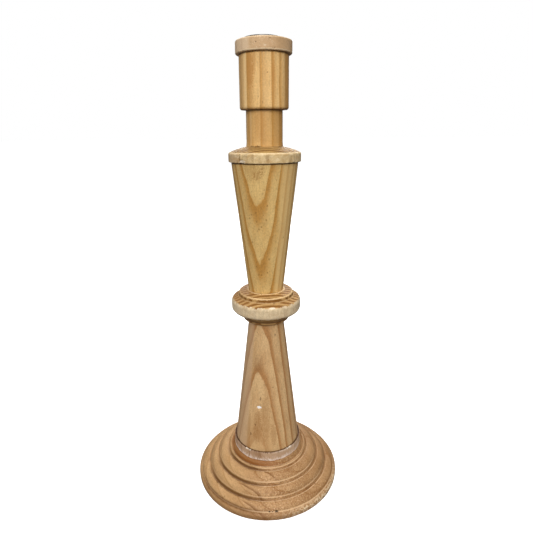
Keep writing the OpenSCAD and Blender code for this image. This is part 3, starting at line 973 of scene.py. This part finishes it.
# %% Turn the candle socket
NECK_R = 14.9
body_low = shoulder_top + 28.1
cup_floor = cup_low - 1
socket_outline = [(0, socket_low, 0), (TENON, socket_low, 0.4), (TENON, shoulder_top, 0.1),
                  (NECK_R + 0.4, shoulder_top, 0.1), (NECK_R + 0.05, shoulder_top + 3.0, 1.0),
                  (NECK_R, body_low, 0.15), (socket_r - 1.0, body_low, 0.3),
                  (socket_r, body_low + 1.1, 0.7), (socket_r, cap_low, 0.4), (SPIGOT, cap_low, 0.1),
                  (SPIGOT, socket_top, 0.2), (CUP_HOLE, socket_top, 0.1), (CUP_HOLE, cup_floor, 0.1),
                  (0, cup_floor, 0)]
socket_mesh = turned(socket_outline, closed=False, rounds=256, spacing=1.3)
wear(socket_mesh, seed=7, chips=0.3, uneven=0.12)

# %% [markdown]
# ## The socket's wood
# The rings stand on edge to the front here, so the grain runs straight up in stripes from the
# neck through the socket. Darker streaks lie along it. Painted shade darkens the neck and the
# right side, and painted shadow lines lie under the cap and under the socket's body.

# %% Finish the candle socket
socket_wood = Wood("socket_grain", outward=facing(-90), along=(0, 0, 1),
                   edges=(-16.4, -11.6, -5.6, 3.5, 13.2, 18.6), pale=(224, 184, 124),
                   dark=(188, 140, 76), sway=0.5, streaks=0.8, band=0.55, fade=0.44, slope=0.6,
                   cloud=0.35, grit=0.35, lines=0.36)
socket_wood.pores(often=0.12)
for angle, height, wide, tall, strength in (
        (-33, 376, 7, 26, 0.5), (-22, 380, 3, 20, 0.35), (-30, 366, 4, 40, 0.25),
        (20, 368, 4, 40, 0.3), (21, 374, 2, 16, 0.35), (-14, 336, 9, 26, 0.3)):
    around = socket_r if height > body_low else 14.8
    smudge = socket_wood.spot(angle, height, around, wide, tall, deep=4, ragged=0.9)
    socket_wood.stained(smudge * strength, (178, 122, 60))
socket_wood.stained(socket_wood.sector(-120, -54, 4) * 0.3, (186, 158, 116))
socket_wood.stained(socket_wood.sector(-51, -43, 3) * 0.45, (232, 202, 152))
# The right side is darker brown: painted shade, as if lit from the left.
socket_wood.stained(socket_wood.sector(50, 120, 4) * 0.35, (146, 104, 52))
# The neck under the socket's body is darkened, most on the right: painted shade.
on_neck = between(socket_wood.z, body_low + 1, body_low - 1)
socket_wood.stained(on_neck * (0.25 + 0.3 * socket_wood.sector(24, 120, 16)), (174, 126, 60))
# Dark lines under the cap and under the socket's body: painted shadows of their overhanging edges.
socket_wood.stained(socket_wood.ring_line(19.8, cap_low, 1.2, 0.25) * 0.6, (96, 60, 24))
socket_wood.stained(socket_wood.ring_line(NECK_R, body_low, 1.6, 0.25) * 0.6, (104, 70, 32))
socket_wood.dabs(0.7, (120, 74, 34), [(8, 373.5, socket_r, 1.2, 0.9)])
shown("turned_candle_socket", socket_mesh, socket_wood.done(), "candle_socket")

# %% [markdown]
# ## The cap ring
# A ring sits on the socket's spigot and holds the cup. It is a little wider than the socket,
# so its lower edge throws a thin shadow.

# %% Turn the cap ring
c = cap_low
spigot_top = c + 4.1
cap_outline = [(SPIGOT, c, 0), (21.7, c, 0.2), (cap_r, c + 0.6, 0.3), (cap_r, c + 8.8, 0.3),
               (21.9, c + 9.4, 0.2)]
cap_outline += swell((21.6, c + 9.4), (15.4, cap_top), 0.25)
cap_outline += [(15.4, cap_top, 0.3), (CUP_HOLE, cap_top, 0.1), (CUP_HOLE, spigot_top, 0.1),
                (SPIGOT, spigot_top, 0.1)]
cap_mesh = turned(cap_outline, rounds=256, spacing=0.8)
wear(cap_mesh, seed=8, chips=0.35, uneven=0.12, bites=[(22, c + 0.8, 2.5, 0.8, 0.5)])

# %% [markdown]
# ## The cap's wood
# The cap is pale wood with its grain across. Its edges have dried paler still, and light and
# dark flecks show where fibres end.

# %% Finish the cap ring
cap_wood = Wood("cap_grain", outward=facing(10), along=(1, 0.2, 0.1), edges=(-19, -11, -3, 6, 13, 27),
                pale=(207, 173, 132), dark=(178, 140, 100), sway=1.2, streaks=0.7, slope=0.4,
                cloud=0.3, grit=0.3)
cap_wood.pores(often=0.1)
cap_wood.dry_edges(CREAM, strength=0.3)
# The left side is lighter and creamier: painted light, as if lit from the left.
cap_wood.stained(cap_wood.sector(-120, -30, 5) * 0.55, (226, 200, 168))
cap_wood.flecks(cap_wood.sector(-80, 20, 10) * 0.35, 1.1, (236, 212, 180), 0.55, 0.66)
cap_wood.flecks(cap_wood.sector(-90, 90, 10) * 0.3, 1.3, (150, 112, 78), 0.55, 0.66)
# The right side is darker: painted shade.
cap_wood.stained(cap_wood.sector(22, 120, 16) * 0.22, (140, 108, 70))
cap_wood.stained(cap_wood.ring_line(cap_r - 0.2, c + 0.6, 0.7, 0.6) * 0.55, (232, 206, 168))
cap_wood.stained(cap_wood.ring_line(cap_r - 0.5, c + 9.3, 0.8, 0.6) * 0.4, (232, 206, 168))
cap_wood.dabs(0.6, SOOT, [(-15, c + 5.4, cap_r, 1.3, 1.0)])
cap_wood.dabs(0.6, CREAM, [(2, c + 2.9, cap_r, 1.8, 1.3)])
shown("turned_cap_ring", cap_mesh, cap_wood.done(bump=1.3), "cap_ring")

# %% [markdown]
# ## The candle cup
# The cup is drawn from thin sheet metal: a closed floor, a straight wall and a flange rolled
# outwards over the wood. Its outline is a strip with two sides, so spinning it gives the wall
# its real thickness at once. The flange was pressed a millimetre off centre, to the left.

# %% Spin the candle cup
SHEET = 0.6
FLANGE_SHIFT = 1.0
u = cup_top
cup_outline = [(0, cup_low, 0), (CUP_WALL, cup_low, 0.8), (CUP_WALL, u - 1.4, 0.2),
               (cup_r - 0.1, u - 1.35, 0.3), (cup_r, u - 0.3, 0.2), (cup_r - 0.4, u, 0.2),
               (CUP_WALL, u - 0.15, 0.3), (CANDLE_BORE, u - 0.9, 0.5),
               (CANDLE_BORE, cup_low + SHEET, 0.6), (0, cup_low + SHEET, 0)]
cup_mesh = turned(cup_outline, closed=False, rounds=192, spacing=0.8)
for vertex in cup_mesh.verts:
    beyond = (math.hypot(vertex.co.x, vertex.co.y) / MM - CUP_HOLE) / 1.2
    vertex.co.x -= FLANGE_SHIFT * MM * max(0, min(1, beyond))
wear(cup_mesh, seed=9, chips=0.0, uneven=0.05)

# %% [markdown]
# ## The cup's plating
# Old plating is dull in patches and finely scratched. The flange's rolled edge is painted dark
# brown at the left and right, where the metallic look fades too, as painted reflections of the
# wood and of dark surroundings; it is cleaner between them.

# %% Plate the cup
cup_metal = Finish("plated_cup")
cup_mm = cup_metal.millimetres()
cup_x, cup_y, cup_z = cup_metal.parts(cup_mm)
cup_out = (cup_x * cup_x + cup_y * cup_y) ** 0.5
haze = mottle(stretched(cup_mm, 3, 3, 3), detail=4, rough=0.6)
scratch = mottle(stretched(cup_mm, 4, 0.25, 4), detail=3, rough=0.6)
dull = between(haze, 0.45, 0.7)
rolled_edge = between(cup_z, u - 0.02, u - 0.2) * between(cup_out, 12.6, 13.4)
# The rolled edge is dark brown at the left and right with less metallic look: painted reflections, brown
# of the wood and near black.
painted_side_reflections = between(abs(cup_x + 0.5) + (haze - 0.5) * 5, 2.0, 5.0) * rolled_edge
cup_colour = mixed(dull * 0.35, (0.34, 0.33, 0.31, 1), (0.18, 0.16, 0.14, 1))
cup_colour = mixed(rolled_edge * 0.7, cup_colour, (0.14, 0.13, 0.12, 1))
cup_colour = mixed(painted_side_reflections * 0.95, cup_colour, (0.045, 0.028, 0.014, 1))
cup_rough = 0.3 + dull * 0.15 + rolled_edge * 0.2 + painted_side_reflections * 0.15 + (scratch - 0.5) * 0.1
relief = {"Strength": 1.0, "Distance": MM, "Height": scratch * 0.01}
cup_bump = cup_metal.node("ShaderNodeBump", {}, relief)[0]
cup_metal.plug(cup_metal.shader, {"Base Color": cup_colour, "Roughness": cup_rough,
                                  "Normal": cup_bump, "Metallic": 1 - painted_side_reflections * 0.9})
shown("spun_candle_cup", cup_mesh, cup_metal.material, "candle_cup")

# %% [markdown]
# ## The screw
# The screw under the base is hidden in use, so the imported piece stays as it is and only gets
# a zinc finish with a faint cloudy bloom.

# %% Plate the screw
zinc = Finish("zinc_screw")
bloom = mottle(stretched(zinc.millimetres(), 1.2, 1.2, 1.2), detail=4, rough=0.65)
zinc_colour = mixed(between(bloom, 0.4, 0.7), (0.50, 0.50, 0.50, 1), (0.32, 0.32, 0.31, 1))
zinc.plug(zinc.shader, {"Base Color": zinc_colour, "Roughness": 0.3 + bloom * 0.2, "Metallic": 1.0})
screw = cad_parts["base_screw"]
screw.data.materials.clear()
screw.data.materials.append(zinc.material)
print(f"{zinc.material.name}: {len(zinc.tree.nodes)} nodes")

# %% [markdown]
# ## The floor
# The candlestick stands on a plain white floor. The floor glows a little so that it looks as
# white as the sky, and it is hidden from the wood's own reflections and bounced light, because
# such a glow from below would wash out the undersides.

# %% Lay the floor
WHITE = (1, 1, 1, 1)
floor_mesh = bmesh.new()
bmesh.ops.create_grid(floor_mesh, x_segments=1, y_segments=1, size=30)
floor_data = bpy.data.meshes.new("studio_floor")
floor_mesh.to_mesh(floor_data)
floor_mesh.free()
floor = bpy.data.objects.new("studio_floor", floor_data)
bpy.context.scene.collection.objects.link(floor)
white_floor = Finish("white_floor")
white_floor.plug(white_floor.shader, {
    "Base Color": (0.93, 0.93, 0.93, 1), "Roughness": 0.9, "Specular IOR Level": 0.1,
    "Emission Color": WHITE, "Emission Strength": 0.62})
floor_data.materials.append(white_floor.material)
floor.visible_diffuse = False
floor.visible_glossy = False
floor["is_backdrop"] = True

# %% [markdown]
# ## The lamps
# Three large square lamps, in front, behind and above, add a gentle direction to the light
# of the sky. Large lamps close by give the soft shadows of a studio tent.

# %% Hang the lamps


def softbox(name, place, target, size, watts, tint):
    """A square area lamp at place, aimed at target."""
    data = bpy.data.lights.new(name, "AREA")
    data.shape, data.size, data.energy, data.color = "SQUARE", size, watts, tint
    lamp = bpy.data.objects.new(name, data)
    lamp.location = place
    lamp.rotation_euler = (Vector(target) - Vector(place)).to_track_quat("-Z", "Y").to_euler()
    bpy.context.scene.collection.objects.link(lamp)
    print(f"{name}: {watts} W")


softbox("front_softbox", (-0.08, -1.35, 0.9), (0, 0, 0.2), 0.9, 18, (1.0, 0.98, 0.95))
softbox("back_softbox", (0.1, 1.5, 0.9), (0, 0, 0.2), 0.9, 10, (1.0, 0.98, 0.95))
softbox("top_softbox", (0.1, 0.0, 1.9), (0, 0, 0.1), 1.2, 14, (1.0, 1.0, 1.0))

# %% [markdown]
# ## The sky
# The sky gives most of the light. It is dim near the ground and bright overhead, which
# darkens the undersides as a room does. The camera itself sees it plain white.

# %% Light the sky
sky = Finish("white_sky", bpy.data.worlds, "Background")
way_up = sky.parts(sky.node("ShaderNodeTexCoord", {}, {})[0])[2]
dome = sky.node("ShaderNodeMapRange", {"interpolation_type": "SMOOTHSTEP"},
                {"Value": way_up, "From Min": -0.25, "From Max": 0.75, "To Min": 0.14, "To Max": 0.6})[0]
sky.plug(sky.shader, {"Color": WHITE, "Strength": dome})
plain = sky.node("ShaderNodeBackground", {}, {"Color": WHITE, "Strength": 1.0})[0]
camera_sees = sky.node("ShaderNodeLightPath", {}, {})[0]
glowing = Signal(sky, sky.shader.outputs[0])
either = sky.node("ShaderNodeMixShader", {}, {0: camera_sees, 1: glowing, 2: plain})[0]
sky.plug(sky.tree.nodes["World Output"], {"Surface": either})
bpy.context.scene.world = sky.material
bpy.context.scene.view_settings.view_transform = "Standard"

# %% [markdown]
# ## The camera
# The camera stands a little above the middle of the candlestick, close to it, and looks down
# at the base. Its lens, distance and slight tilt follow from the ellipses of the turned rings.

# %% Set up the camera
LOOK_DOWN, TILT = math.radians(17.19), math.radians(-0.54)
camera_data = bpy.data.cameras.new("viewer")
camera_data.lens, camera_data.sensor_width = 28.85, 36.0
camera_data.shift_x = 0.0014
camera_data.clip_start = 0.01
camera = bpy.data.objects.new("viewer", camera_data)
looking = Matrix.Rotation(math.radians(90) - LOOK_DOWN, 4, "X") @ Matrix.Rotation(TILT, 4, "Z")
camera.matrix_world = Matrix.Translation((0, -0.3660, 0.3292)) @ looking
bpy.context.scene.collection.objects.link(camera)
bpy.context.scene.camera = camera

# %% [markdown]
# ## Sizes
# The finished model is meant to be as large as the imported one, so the difference between their boxes is
# printed.

# %% Compare the boxes
bpy.context.view_layer.update()
shown_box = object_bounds()
apart = [round((a[i] - b[i]) / MM, 2) for a, b in zip(shown_box, packed_box) for i in range(3)]
print("size difference, mm:", apart)
